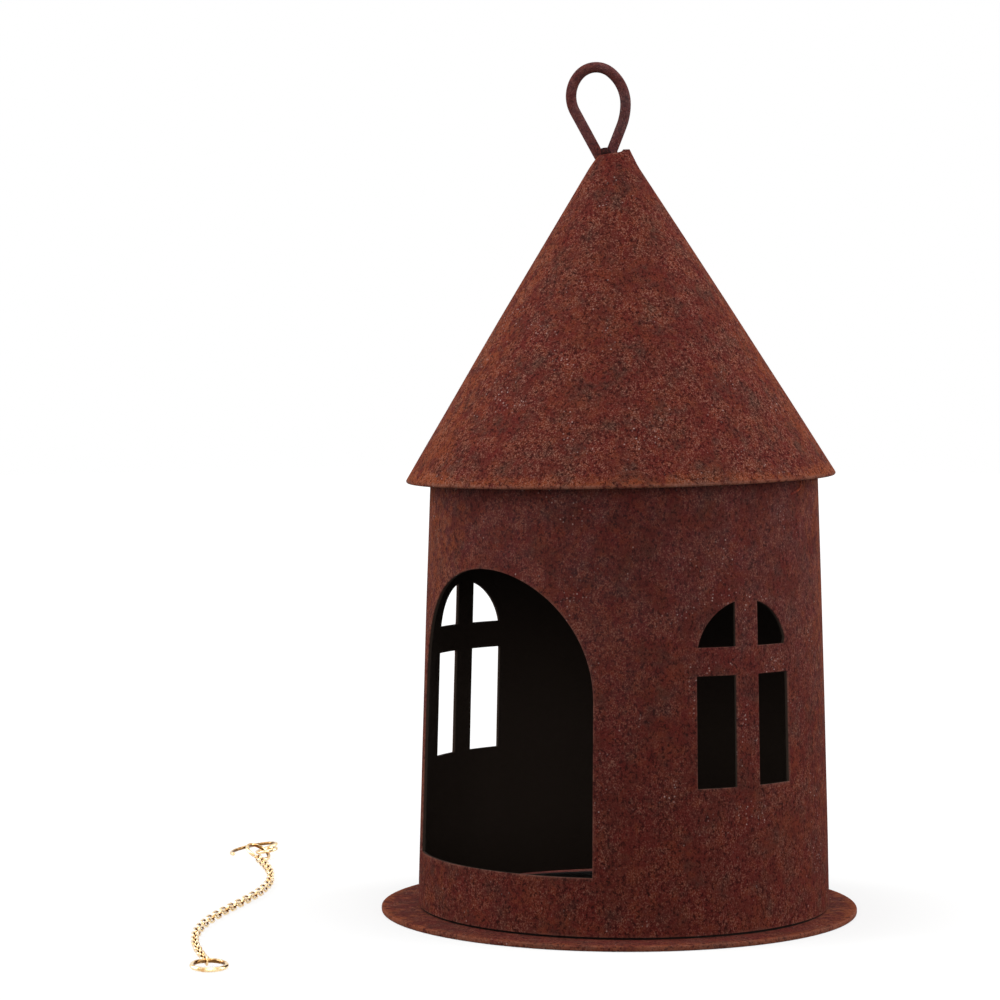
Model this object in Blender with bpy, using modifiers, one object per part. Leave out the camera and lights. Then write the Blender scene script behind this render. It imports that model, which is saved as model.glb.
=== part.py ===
"""Hanging castle candle holder: a small round tower of rusted sheet steel, and the chain that it hangs on.

The lantern is a round base plate, a rolled tower wall with an arched doorway and two arched windows, a
conical roof and a bent wire loop. The chain lies beside it on the same surface: an S-hook, a jump ring, a
run of cable chain links and a larger jump ring, each threaded through the next.

Origin: the middle of the base plate's underside. +Z is up, and the doorway faces -Y.
"""

from math import asin, ceil, cos, pi, radians, sin, sqrt

import bmesh
import bpy
from mathutils import Matrix, Vector

MM = 0.001

# Gaps between neighbours
SEAT_GAP = 0.3 * MM
WIRE_GAP = 0.15 * MM
SURFACE_GAP = 0.02 * MM

# How far cutters run past what they cut, and how near two vertices are merged
CUTTER_REACH = 12.0 * MM
MERGE = 0.00001 * MM

# Base plate
BASE_RADIUS = 55.0 * MM
BASE_SHEET = 1.2 * MM
BASE_EDGE = 0.35 * MM

# Tower wall, rolled from flat sheet
WALL_FOOT_RADIUS = 47.55 * MM
WALL_EAVE_RADIUS = 44.6 * MM
WALL_SHEET = 0.9 * MM
WALL_SHIFT = Vector((0.75, 0.75, 0.0)) * MM
ROUND_STEPS = 90

# Doorway and windows, measured along the flat sheet before it is rolled
DOOR_HALF_WIDTH = 28.2 * MM
DOOR_SILL = 14.5 * MM
DOOR_SPRING = 52.6 * MM
DOOR_STEPS = 18
WINDOW_TURN = radians(79.3)
WINDOW_HALF_WIDTH = 12.8 * MM
WINDOW_SILL = 33.6 * MM
WINDOW_SPRING = 61.7 * MM
WINDOW_BAR = 6.25 * MM
WINDOW_TRANSOM = 58.1 * MM
WINDOW_STEPS = 6

# Conical roof, a little out of true, leaning towards the doorway
EAVE_HEIGHT = 100.7 * MM
EAVE_RADIUS = 49.45 * MM
ROOF_TIP_RADIUS = 3.7 * MM
ROOF_RISE = 73.9 * MM
ROOF_SHEET = 0.9 * MM
ROOF_SHIFT = Vector((0.15, 0.15, 0.0)) * MM
ROOF_LEAN = radians(1.65)
ROOF_LEAN_TURN = radians(-6.0)

# Hanging loop of bent wire: straight runs are (0, length), bends are (radius, turn to the right)
LOOP_WIRE = 2.45 * MM
LOOP_TURN = radians(45.5)
LOOP_FOOT = Vector((-3.1, 0.0, -0.9)) * MM
LOOP_FIRST_HEADING = radians(118.7)
LOOP_BENDS = (
    (0, 12.0 * MM),
    (7.35 * MM, radians(70.4)),
    (5.2 * MM, radians(87.0)),
    (9.3 * MM, radians(51.6)),
    (14.2 * MM, radians(21.0)),
    (0, 5.4 * MM),
    (3.0 * MM, radians(-21.3)),
    (0, 0.5 * MM),
)
LOOP_BEND_STEP = radians(12.0)

# Cable chain
LINK_COUNT = 53
LINK_PITCH = 2.7 * MM
LINK_WIRE = 0.5 * MM
LINK_BEND_RADIUS = 0.85 * MM
LINK_END_STEPS = 4
CHAIN_START_LEFT = 112.3 * MM
CHAIN_START_FRONT = 14.9 * MM
CHAIN_HEADING = radians(-44.5)
CHAIN_SWAY = radians(14.0)
FIRST_LINK_TIP = radians(-24.0)
MIDDLE_LINK_TIP = radians(-45.0)
LAST_LINK_TIP = radians(0.0)
TWIST_LINKS = 10

# Jump rings at the two ends of the chain
UPPER_RING_RADIUS = 3.03 * MM
UPPER_RING_WIRE = 0.9 * MM
UPPER_RING_SPLIT = radians(200.0)
LOWER_RING_RADIUS = 3.6 * MM
LOWER_RING_WIRE = 1.0 * MM
LOWER_RING_SPLIT = radians(125.0)
RING_SPLIT_GAP = 0.15 * MM
RING_STEPS = 26

# S-hook: bow, throat, shank and closed eye, bent from one wire
HOOK_WIRE = 0.86 * MM
HOOK_BOW = (6.0 * MM, radians(187.5))
HOOK_THROAT = (2.75 * MM, radians(58.4))
HOOK_SHANK = 6.2 * MM
HOOK_EYE_RADIUS = 2.5 * MM
HOOK_EYE_TURN = radians(305.0)
HOOK_FIRST_HEADING = radians(107.5)
HOOK_EYE_PLACE = Vector((2.6, 2.2, 0.0)) * MM
HOOK_PITCH = radians(-2.0)
HOOK_ROLL = radians(-10.0)
HOOK_BEND_STEP = radians(13.0)

RUST = (0.135, 0.052, 0.036, 1.0)
GOLD = (0.86, 0.62, 0.24, 1.0)

UP = Vector((0.0, 0.0, 1.0))


def clear_scene():
    """Removes what the file holds before the model is made."""
    for obj in list(bpy.data.objects):
        bpy.data.objects.remove(obj, do_unlink=True)


def new_collection(name):
    """A collection of its own under the scene."""
    collection = bpy.data.collections.new(name)
    bpy.context.scene.collection.children.link(collection)
    return collection


clear_scene()
PARTS = new_collection("hanging_castle_candle_holder")
CUTTERS = new_collection("cutters")


def make_material(name, colour, roughness, metallic):
    """A plain material for one kind of metal."""
    material = bpy.data.materials.new(name)
    material.use_nodes = True
    shader = material.node_tree.nodes["Principled BSDF"]
    shader.inputs["Base Color"].default_value = colour
    shader.inputs["Roughness"].default_value = roughness
    shader.inputs["Metallic"].default_value = metallic
    return material


def add_part(name, data, material, place=None):
    """Adds a named piece to the parts, at a place given in world space."""
    part = bpy.data.objects.new(name, data)
    if not data.materials:
        data.materials.append(material)
    if place is not None:
        part.matrix_world = place
    PARTS.objects.link(part)
    return part


def add_cutter(name, data):
    """Adds a shape that only cuts other pieces, and isn't itself a piece."""
    cutter = bpy.data.objects.new(name, data)
    cutter.hide_render = True
    cutter.display_type = "WIRE"
    CUTTERS.objects.link(cutter)
    return cutter


def cut(part, cutter, operation="DIFFERENCE"):
    """Cuts a shape out of a piece, or keeps only what lies inside the shape."""
    boolean = part.modifiers.new(cutter.name, "BOOLEAN")
    boolean.operation = operation
    boolean.solver = "EXACT"
    boolean.object = cutter


def turned_mesh(name, profile, closed):
    """A mesh of one profile line in the XZ plane, listed down its outer side first."""
    mesh = bpy.data.meshes.new(name)
    edges = [(i, i + 1) for i in range(len(profile) - 1)]
    if closed:
        edges.append((len(profile) - 1, 0))
    mesh.from_pydata([(radius, 0.0, height) for radius, height in profile], edges, [])
    return mesh


def turn(part, steps=ROUND_STEPS):
    """Turns a profile line about the piece's own Z axis."""
    screw = part.modifiers.new("turn", "SCREW")
    screw.steps = steps
    screw.render_steps = steps
    screw.use_merge_vertices = True
    screw.merge_threshold = MERGE
    screw.use_smooth_shade = False
    return screw


def wire_curve(name, points, diameter, closed=False, sides=2):
    """A round wire along a line of points; an open one has filled ends."""
    curve = bpy.data.curves.new(name, "CURVE")
    curve.dimensions = "3D"
    curve.bevel_depth = diameter / 2
    curve.bevel_resolution = sides
    curve.use_fill_caps = not closed
    spline = curve.splines.new("POLY")
    spline.points.add(len(points) - 1)
    for target, point in zip(spline.points, points):
        target.co = (point[0], point[1], point[2], 1.0)
    spline.use_cyclic_u = closed
    return curve


def bent_line(first_heading, bends, step):
    """Points of a flat wire in the XY plane from (0, 0): each bend is (radius, turn to the right)."""
    points = [Vector((0.0, 0.0, 0.0))]
    heading = first_heading
    for radius, amount in bends:
        if radius == 0:
            points.append(points[-1] + amount * Vector((cos(heading), sin(heading), 0.0)))
            continue
        count = ceil(abs(amount) / step)
        turn_each = amount / count
        chord = 2 * radius * sin(abs(turn_each) / 2)
        for _ in range(count):
            heading -= turn_each / 2
            points.append(points[-1] + chord * Vector((cos(heading), sin(heading), 0.0)))
            heading -= turn_each / 2
    return points


def axes_matrix(origin, x_axis, y_axis, z_axis):
    """A place in world space from an origin and three unit axes."""
    rows = [(x_axis[i], y_axis[i], z_axis[i], origin[i]) for i in range(3)]
    return Matrix(rows + [(0.0, 0.0, 0.0, 1.0)])


def wall_radius(height):
    """The tower's outer radius, which shrinks evenly from the foot to the eave."""
    foot = BASE_SHEET + SEAT_GAP
    share = (height - foot) / (EAVE_HEIGHT - foot)
    return WALL_FOOT_RADIUS + share * (WALL_EAVE_RADIUS - WALL_FOOT_RADIUS)


def roof_slope():
    """How far the cone's radius shrinks for each step up."""
    return (EAVE_RADIUS - ROOF_TIP_RADIUS) / ROOF_RISE


def roof_wall_width():
    """The sheet's thickness measured level, across the cone."""
    return ROOF_SHEET * sqrt(1 + roof_slope() ** 2)


def roof_offset(name, low, high, clearance):
    """A cutter shaped like the roof's outer face from one height to another, moved out by a clearance."""
    slope = roof_slope()
    radius = EAVE_RADIUS + clearance * sqrt(1 + slope**2)
    bm = bmesh.new()
    bmesh.ops.create_cone(
        bm,
        cap_ends=True,
        segments=ROUND_STEPS,
        radius1=radius - slope * low,
        radius2=radius - slope * high,
        depth=high - low,
    )
    bmesh.ops.translate(bm, verts=bm.verts, vec=(0.0, 0.0, (low + high) / 2))
    mesh = bpy.data.meshes.new(name)
    bm.to_mesh(mesh)
    bm.free()
    cutter = add_cutter(name, mesh)
    cutter.matrix_world = roof_place()
    return cutter


def roof_place():
    """The eave's middle, turned so that the roof leans."""
    lean_about = Matrix.Rotation(ROOF_LEAN_TURN, 4, "Z") @ Matrix.Rotation(ROOF_LEAN, 4, "X")
    return Matrix.Translation(ROOF_SHIFT + EAVE_HEIGHT * UP) @ lean_about


def make_base(rust):
    """Round plate of sheet steel with slightly rounded edges."""
    bpy.ops.mesh.primitive_cylinder_add(
        vertices=ROUND_STEPS, radius=BASE_RADIUS, depth=BASE_SHEET, location=(0.0, 0.0, BASE_SHEET / 2)
    )
    base = bpy.context.object
    base.name = "base_plate"
    base.data.materials.append(rust)
    for collection in list(base.users_collection):
        collection.objects.unlink(base)
    PARTS.objects.link(base)
    edge = base.modifiers.new("rounded_edge", "BEVEL")
    edge.width = BASE_EDGE
    edge.segments = 2
    edge.limit_method = "ANGLE"
    base.data.shade_smooth()
    return base


def opening_cutter(name, outline, turn_angle):
    """A wedge that cuts an outline of (distance along the sheet, height) square through the rolled wall."""
    sheet_radius = wall_radius((WINDOW_SILL + WINDOW_SPRING) / 2)
    inner = WALL_EAVE_RADIUS - WALL_SHEET - CUTTER_REACH
    outer = WALL_FOOT_RADIUS + CUTTER_REACH
    bm = bmesh.new()

    def ring_point(radius, along, height):
        angle = turn_angle + along / sheet_radius
        return Vector((radius * sin(angle), -radius * cos(angle), height))

    near = [bm.verts.new(ring_point(inner, along, height)) for along, height in outline]
    far = [bm.verts.new(ring_point(outer, along, height)) for along, height in outline]
    bm.faces.new(near)
    bm.faces.new(far[::-1])
    for i in range(len(outline)):
        j = (i + 1) % len(outline)
        bm.faces.new((near[j], near[i], far[i], far[j]))
    bmesh.ops.recalc_face_normals(bm, faces=bm.faces)
    mesh = bpy.data.meshes.new(name)
    bm.to_mesh(mesh)
    bm.free()
    return add_cutter(name, mesh)


def door_outline():
    """Straight sides up to the spring line, and a half round above it."""
    angles = [pi * i / DOOR_STEPS for i in range(DOOR_STEPS + 1)]
    arch = [(DOOR_HALF_WIDTH * cos(a), DOOR_SPRING + DOOR_HALF_WIDTH * sin(a)) for a in angles]
    return [(-DOOR_HALF_WIDTH, DOOR_SILL), (DOOR_HALF_WIDTH, DOOR_SILL)] + arch


def pane_outlines():
    """The four panes between an arched window's bars: two oblong ones, and two under the arch."""
    bar = WINDOW_BAR / 2
    head = WINDOW_TRANSOM + WINDOW_BAR
    first = asin((head - WINDOW_SPRING) / WINDOW_HALF_WIDTH)
    last = asin(sqrt(WINDOW_HALF_WIDTH**2 - bar**2) / WINDOW_HALF_WIDTH)
    angles = [first + (last - first) * i / WINDOW_STEPS for i in range(WINDOW_STEPS + 1)]
    arch = [(WINDOW_HALF_WIDTH * cos(a), WINDOW_SPRING + WINDOW_HALF_WIDTH * sin(a)) for a in angles]
    oblong = [
        (bar, WINDOW_SILL),
        (WINDOW_HALF_WIDTH, WINDOW_SILL),
        (WINDOW_HALF_WIDTH, WINDOW_TRANSOM),
        (bar, WINDOW_TRANSOM),
    ]
    right = [oblong, [(bar, head)] + arch]
    left = [[(-along, height) for along, height in outline][::-1] for outline in right]
    return right + left


def make_wall(rust):
    """Rolled wall, trimmed under the roof and cut through for the doorway and the windows."""
    foot = BASE_SHEET + SEAT_GAP
    over = EAVE_HEIGHT + CUTTER_REACH
    profile = [
        (wall_radius(over), over),
        (wall_radius(foot), foot),
        (wall_radius(foot) - WALL_SHEET, foot),
        (wall_radius(over) - WALL_SHEET, over),
    ]
    wall = add_part("tower_wall", turned_mesh("tower_wall", profile, closed=True), rust)
    wall.location = WALL_SHIFT
    turn(wall)

    under_roof = roof_offset("space_under_roof", -EAVE_HEIGHT, ROOF_RISE / 2, -ROOF_SHEET - SEAT_GAP)
    cut(wall, under_roof, "INTERSECT")

    cutters = [opening_cutter("doorway", door_outline(), 0.0)]
    for side, name in ((1, "right"), (-1, "left")):
        for i, outline in enumerate(pane_outlines(), start=1):
            cutters.append(opening_cutter(f"{name}_window_pane_{i}", outline, side * WINDOW_TURN))
    for cutter in cutters:
        cutter.location = WALL_SHIFT
        cut(wall, cutter)
    wall.data.shade_smooth()
    return wall


def make_roof(rust):
    """Cone of sheet steel with a small closed tip; its eave edge is cut square to the sheet."""
    slope = roof_slope()
    across = 1 / sqrt(1 + slope**2)
    inner_tip = ROOF_TIP_RADIUS + slope * ROOF_SHEET - roof_wall_width()
    profile = [
        (0.0, ROOF_RISE),
        (ROOF_TIP_RADIUS, ROOF_RISE),
        (EAVE_RADIUS, 0.0),
        (EAVE_RADIUS - ROOF_SHEET * across, -ROOF_SHEET * slope * across),
        (inner_tip, ROOF_RISE - ROOF_SHEET),
        (0.0, ROOF_RISE - ROOF_SHEET),
    ]
    roof = add_part("roof_cone", turned_mesh("roof_cone", profile, closed=False), rust)
    roof.matrix_world = roof_place()
    turn(roof)
    roof.data.shade_smooth()
    return roof


def as_mesh(curve_object, material):
    """Turns a wire with filled ends into a closed mesh, which can be cut."""
    name = curve_object.name
    bpy.context.view_layer.update()
    solid = curve_object.evaluated_get(bpy.context.evaluated_depsgraph_get())
    mesh = bpy.data.meshes.new_from_object(solid)
    bm = bmesh.new()
    bm.from_mesh(mesh)
    bmesh.ops.remove_doubles(bm, verts=bm.verts, dist=MERGE)
    bm.to_mesh(mesh)
    bm.free()
    place = curve_object.matrix_world.copy()
    bpy.data.objects.remove(curve_object, do_unlink=True)
    return add_part(name, mesh, material, place)


def make_loop(rust):
    """Wire loop whose two ends are fitted side by side to the roof's tip, where they are welded on."""
    line = bent_line(LOOP_FIRST_HEADING, LOOP_BENDS, LOOP_BEND_STEP)
    wire = wire_curve("hanging_loop", [(p.x, 0.0, p.y) for p in line], LOOP_WIRE, sides=3)
    tip = roof_place() @ Vector((0.0, 0.0, ROOF_RISE))
    place = Matrix.Translation(tip) @ Matrix.Rotation(LOOP_TURN, 4, "Z") @ Matrix.Translation(LOOP_FOOT)
    loop = as_mesh(add_part("hanging_loop", wire, rust, place), rust)
    roof_tip = roof_offset("roof_tip", ROOF_RISE / 2, ROOF_RISE + SEAT_GAP, SEAT_GAP)
    cut(loop, roof_tip)
    return loop


def link_half_length():
    """From a link's middle to the middle of its end wire, so that neighbours keep one pitch."""
    return (LINK_PITCH + LINK_WIRE + WIRE_GAP) / 2


def link_line():
    """Long round of a link, in its own XY plane."""
    straight = link_half_length() - LINK_BEND_RADIUS
    points = []
    for side in (1, -1):
        for i in range(LINK_END_STEPS + 1):
            angle = pi * (i / LINK_END_STEPS - 0.5)
            along = straight + LINK_BEND_RADIUS * cos(angle)
            points.append(side * Vector((along, LINK_BEND_RADIUS * sin(angle), 0.0)))
    return points


def link_tip(number):
    """How far link planes are tipped from upright or flat: the twist runs in and out at the two ends."""
    if number <= TWIST_LINKS:
        share = (number - 1) / (TWIST_LINKS - 1)
        return FIRST_LINK_TIP + share * (MIDDLE_LINK_TIP - FIRST_LINK_TIP)
    share = max(0.0, (number - (LINK_COUNT - TWIST_LINKS)) / TWIST_LINKS)
    return MIDDLE_LINK_TIP + share * (LAST_LINK_TIP - MIDDLE_LINK_TIP)


def chain_height(number):
    """The chain line's height over the surface where the more upright of two neighbours touches it."""
    tip = link_tip(number)
    return LINK_BEND_RADIUS * max(abs(cos(tip)), abs(sin(tip))) + LINK_WIRE / 2 + SURFACE_GAP


def chain_places():
    """The world place of every link, each at its middle: X along the chain, Y across the link's width."""
    places = []
    start = Vector((-CHAIN_START_LEFT, -CHAIN_START_FRONT, chain_height(1)))
    for number in range(1, LINK_COUNT + 1):
        heading = CHAIN_HEADING + CHAIN_SWAY * cos(2 * pi * (number - 1) / (LINK_COUNT - 1))
        rise = chain_height(min(number + 1, LINK_COUNT)) - start.z
        level = sqrt(LINK_PITCH**2 - rise**2)
        along = Vector((level * cos(heading), level * sin(heading), rise)).normalized()
        left = UP.cross(along).normalized()
        above = along.cross(left)
        roll = pi / 2 * number + link_tip(number)
        across = left * cos(roll) + above * sin(roll)
        end = start + LINK_PITCH * along
        middle = end - link_half_length() * along
        places.append(axes_matrix(middle, along, across, along.cross(across)))
        start = end
    return places


def ring_line(radius, split):
    """Round of a jump ring in its own XY plane, open at the split by a hair."""
    gap = RING_SPLIT_GAP / radius
    return [
        Vector((radius * cos(angle), radius * sin(angle), 0.0))
        for angle in (split + gap / 2 + (2 * pi - gap) * i / RING_STEPS for i in range(RING_STEPS + 1))
    ]


def column(place, index):
    """One of a place's axes: 0 is X, 1 is Y, 2 is Z."""
    return place.col[index].to_3d()


def end_wire(place, side):
    """Middle of a link's end wire: side 1 is its front, -1 its back."""
    return place.translation + side * link_half_length() * column(place, 0)


def lower_ring_place(last):
    """The big ring hangs in the last link's front end, tilted so that its far side lies on the surface."""
    along = column(last, 0)
    crossing = end_wire(last, 1) - ((LINK_WIRE + LOWER_RING_WIRE) / 2 + WIRE_GAP) * along
    drop = crossing.z - LOWER_RING_WIRE / 2 - SURFACE_GAP
    tilt = asin(drop / (2 * LOWER_RING_RADIUS))
    level = Vector((along.x, along.y, 0.0)).normalized()
    outward = level * cos(tilt) - UP * sin(tilt)
    left = UP.cross(level)
    return axes_matrix(crossing + LOWER_RING_RADIUS * outward, outward, left, outward.cross(left))


def upper_ring_place(first):
    """The small ring hangs in the first link's back end, square to it, and leans until it rests."""
    along, side = column(first, 0), -column(first, 2)
    crossing = end_wire(first, -1) + ((LINK_WIRE + UPPER_RING_WIRE) / 2 + WIRE_GAP) * along
    square = side.cross(along)
    drop = (crossing.z - UPPER_RING_WIRE / 2 - SURFACE_GAP) / UPPER_RING_RADIUS
    rise = (side.z**2 - drop**2) / (2 * drop)
    pitch = asin(rise / square.z)
    outward = -along * cos(pitch) + square * sin(pitch)
    return axes_matrix(crossing + UPPER_RING_RADIUS * outward, outward, side, outward.cross(side))


def hook_line():
    """The hook's line in its own XY plane, with the middle of its eye at (0, 0)."""
    bends = (HOOK_BOW, HOOK_THROAT, (0, HOOK_SHANK), (HOOK_EYE_RADIUS, -HOOK_EYE_TURN))
    line = bent_line(HOOK_FIRST_HEADING, bends, HOOK_BEND_STEP)
    shank_heading = HOOK_FIRST_HEADING - HOOK_BOW[1] - HOOK_THROAT[1]
    shank_end = bent_line(HOOK_FIRST_HEADING, bends[:3], HOOK_BEND_STEP)[-1]
    eye = shank_end + HOOK_EYE_RADIUS * Vector((-sin(shank_heading), cos(shank_heading), 0.0))
    return [point - eye for point in line]


def hook_place(first, ring):
    """The hook lies almost flat on the surface, its eye round the small ring's far side."""
    along = column(first, 0)
    back = -Vector((along.x, along.y, 0.0)).normalized()
    right = back.cross(UP)
    flat = axes_matrix(Vector(), right, back, UP)
    turned = flat @ Matrix.Rotation(HOOK_PITCH, 4, "X") @ Matrix.Rotation(HOOK_ROLL, 4, "Y")
    lowest = min((turned @ point).z for point in hook_line())
    level = HOOK_WIRE / 2 + SURFACE_GAP - lowest
    middle = ring.translation + flat.to_3x3() @ HOOK_EYE_PLACE
    return Matrix.Translation((middle.x, middle.y, level)) @ turned


def ring_tangent_place(ring, towards):
    """The point of a ring's wire that lies nearest a place, with Y along the wire there."""
    local = ring.inverted() @ towards
    radial = Vector((local.x, local.y, 0.0)).normalized()
    outward = (ring.to_3x3() @ radial).normalized()
    normal = column(ring, 2)
    point = ring.translation + UPPER_RING_RADIUS * outward
    return axes_matrix(point, outward, normal.cross(outward), normal)


def pivot_place(link, side):
    """A joint on a link's end wire, with Y along that wire."""
    return axes_matrix(end_wire(link, side), column(link, 0), column(link, 1), column(link, 2))


def hang(child, parent, name, place):
    """Parents a piece to an empty on its joint, and the empty to the piece that carries it."""
    pivot = bpy.data.objects.new(name, None)
    pivot.empty_display_size = LINK_PITCH
    PARTS.objects.link(pivot)
    pivot.parent = parent
    pivot.matrix_parent_inverse = parent.matrix_world.inverted()
    pivot.matrix_world = place
    bpy.context.view_layer.update()
    child_place = child.matrix_world.copy()
    child.parent = pivot
    child.matrix_parent_inverse = pivot.matrix_world.inverted()
    child.matrix_world = child_place
    bpy.context.view_layer.update()


def make_chain(gold, carrier):
    """Hook, rings and links, jointed outwards from the middle link, which lifts off the surface."""
    places = chain_places()
    link_wire = wire_curve("chain_link", link_line(), LINK_WIRE, closed=True, sides=1)
    links = [
        add_part(f"link_{number:02d}", link_wire, gold, place)
        for number, place in enumerate(places, start=1)
    ]
    upper_place = upper_ring_place(places[0])
    upper_line = ring_line(UPPER_RING_RADIUS, UPPER_RING_SPLIT)
    upper = add_part("upper_ring", wire_curve("upper_ring", upper_line, UPPER_RING_WIRE), gold, upper_place)
    lower_place = lower_ring_place(places[-1])
    lower_line = ring_line(LOWER_RING_RADIUS, LOWER_RING_SPLIT)
    lower = add_part("lower_ring", wire_curve("lower_ring", lower_line, LOWER_RING_WIRE), gold, lower_place)
    hook_at = hook_place(places[0], upper_place)
    hook = add_part("s_hook", wire_curve("s_hook", hook_line(), HOOK_WIRE), gold, hook_at)
    bpy.context.view_layer.update()

    middle = LINK_COUNT // 2
    hang(links[middle], carrier, "pivot_lift", Matrix.Translation(places[middle].translation))
    for i in range(middle, LINK_COUNT - 1):
        hang(links[i + 1], links[i], f"pivot_{i + 1:02d}_{i + 2:02d}", pivot_place(places[i], 1))
    for i in range(middle, 0, -1):
        hang(links[i - 1], links[i], f"pivot_{i + 1:02d}_{i:02d}", pivot_place(places[i], -1))
    hang(lower, links[-1], "pivot_lower_ring", pivot_place(places[-1], 1))
    hang(upper, links[0], "pivot_upper_ring", pivot_place(places[0], -1))
    hang(hook, upper, "pivot_hook", ring_tangent_place(upper_place, hook_at.translation))


def main():
    rust = make_material("rusted_steel", RUST, roughness=0.85, metallic=0.15)
    gold = make_material("gold_plated_wire", GOLD, roughness=0.2, metallic=1.0)
    base = make_base(rust)
    wall = make_wall(rust)
    roof = make_roof(rust)
    loop = make_loop(rust)
    bpy.context.view_layer.update()
    for piece in (wall, roof, loop):
        piece.parent = base
        piece.matrix_parent_inverse = base.matrix_world.inverted()
    bpy.context.view_layer.update()
    make_chain(gold, base)


main()
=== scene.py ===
"""Hanging castle candle holder: the finished surfaces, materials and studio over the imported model.

The lantern's base plate, tower wall, roof and wire loop are grainy rusted steel. The chain that lies beside
it, with its hook and rings, is polished gold wire. Every piece is a surface worked out on a grid, in the
place of the node that it stands for.
"""

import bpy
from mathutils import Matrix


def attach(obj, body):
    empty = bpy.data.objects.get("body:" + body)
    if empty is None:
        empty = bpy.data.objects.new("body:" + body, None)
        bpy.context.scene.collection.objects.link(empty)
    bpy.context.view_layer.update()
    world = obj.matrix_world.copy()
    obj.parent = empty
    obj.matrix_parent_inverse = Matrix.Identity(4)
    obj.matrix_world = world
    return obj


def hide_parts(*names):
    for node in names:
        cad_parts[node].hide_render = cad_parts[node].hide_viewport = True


bl_info = {
    "name": "Hanging castle candle holder",
    "version": (1, 0, 0),
    "blender": (4, 5, 0),
    "location": "View3D > Sidebar > Castle lantern",
    "description": "Builds the finished surfaces of a rusted castle lantern and of its gold chain",
    "category": "Add Mesh",
}

from math import cos, pi, radians, sin, sqrt

import bmesh
import bpy
import numpy as np
from bpy.props import FloatProperty, FloatVectorProperty, PointerProperty
from mathutils import Matrix, Vector

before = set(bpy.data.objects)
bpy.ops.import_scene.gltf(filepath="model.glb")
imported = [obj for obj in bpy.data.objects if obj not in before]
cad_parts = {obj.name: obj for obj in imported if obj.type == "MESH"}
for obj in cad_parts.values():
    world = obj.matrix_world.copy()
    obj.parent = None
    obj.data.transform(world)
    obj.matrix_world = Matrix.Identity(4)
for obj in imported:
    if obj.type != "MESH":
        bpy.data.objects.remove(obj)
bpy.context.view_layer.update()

MM = 0.001
MERGE = 1e-8
TURN = 2 * pi
UP = np.array([0.0, 0.0, 1.0])

# The way across the lantern, from +X, to its two sides at the edges of the camera's view, where painted rim
# light lies
RIM_LIGHT_TURN = radians(45.5)

# Seeds of the pieces' slow swells, and how far they go: in metres, but for the wall as a share of the roof's
# waviness and for the bead as a share of its size
BASE_SEED, LOOP_SEED, WALL_SEED, BEAD_SEED, ROOF_SEED = 3, 5, 8, 14, 21
BASE_SWELL, LOOP_SWELL, WALL_SWELL, BEAD_SWELL = 0.08 * MM, 0.05 * MM, 0.7, 0.16

# Grid steps round the base and the roof, and along their profiles
BASE_ROUND, BASE_TOP_ROWS, BASE_UNDER_ROWS, RIM_ROWS = 240, 60, 40, 5
ROOF_ROUND, TIP_ROWS, CONE_ROWS, EAVE_ROWS, INNER_ROWS, CEILING_ROWS = 288, 10, 84, 7, 50, 5

# How far fresh rust reaches from the rims
BASE_FRESH, ROOF_FRESH = 2.5 * MM, 3.0 * MM

# Burr on the roof's tip, where its sheet was closed: a slope across the tip, and a peak at one side
BURR_TURN, BURR_REACH = radians(135.0), 3.0 * MM
BURR_SLOPE, BURR_PEAK, BURR_WIDTH = 0.45 * MM, 0.5 * MM, 0.08

# The wall's rows above this height are stretched to reach the leaning roof
STRETCH_FROM = 95.6 * MM

# How far round and how high up the wall's foot is lifted
LIFT_SPREAD, LIFT_REACH = radians(30.0), 3.0 * MM

# Bent wires, as bent_line reads them
LOOP_FIRST = radians(118.7)
LOOP_BENDS = (
    (0, 12.0 * MM),
    (7.35 * MM, radians(70.4)),
    (5.2 * MM, radians(87.0)),
    (9.3 * MM, radians(51.6)),
    (14.2 * MM, radians(21.0)),
    (0, 5.4 * MM),
    (3.0 * MM, radians(-21.3)),
    (0, 0.5 * MM),
)
DRIP_FIRST = radians(-85.0)
DRIP_BENDS = (
    (0, 0.4 * MM),
    (1.6 * MM, radians(80.0)),
    (0, 3.8 * MM),
)
DRIP_TURN, DRIP_TOP, DRIP_WIRE = radians(105.3), 100.2 * MM, 0.55 * MM
HOOK_FIRST = radians(107.5)
HOOK_BENDS = (
    (6.0 * MM, radians(187.5)),
    (2.75 * MM, radians(58.4)),
    (0, 6.2 * MM),
    (2.5 * MM, -radians(305.0)),
)

# Steps along the wires: the model's own, which the fine wires are laid on, and the fine ones'
LINK_STEPS, RING_STEPS, HOOK_STEP = 4, 26, radians(13.0)
LINK_SIDES, RING_SIDES = 6, 8
FINE_LINK_STEPS, FINE_RING_STEPS, FINE_STEP, FINE_SIDES = 12, 90, radians(3.0), 14
LOOP_STRIDE, DRIP_STRIDE, HOOK_STRIDE = 0.5 * MM, 0.2 * MM, 0.25 * MM
LOOP_SIDES, DRIP_SIDES, BEAD_ROWS, BEAD_SIDES = 20, 10, 22, 36

# The bead between the loop's feet: where it sits from the tip's middle, across and up, and its three radii
BEAD_ACROSS, BEAD_UP, BEAD_RADII = -1.9 * MM, 0.1 * MM, (1.75 * MM, 1.45 * MM, 1.35 * MM)

# The floor: half its side, its height, how clear it is near the object, and where the rest of it fades
FLOOR_REACH, FLOOR_LEVEL, FLOOR_CLEAR, FLOOR_FADE = 3.0, -0.02 * MM, 0.55, (0.05, 0.20)

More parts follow.
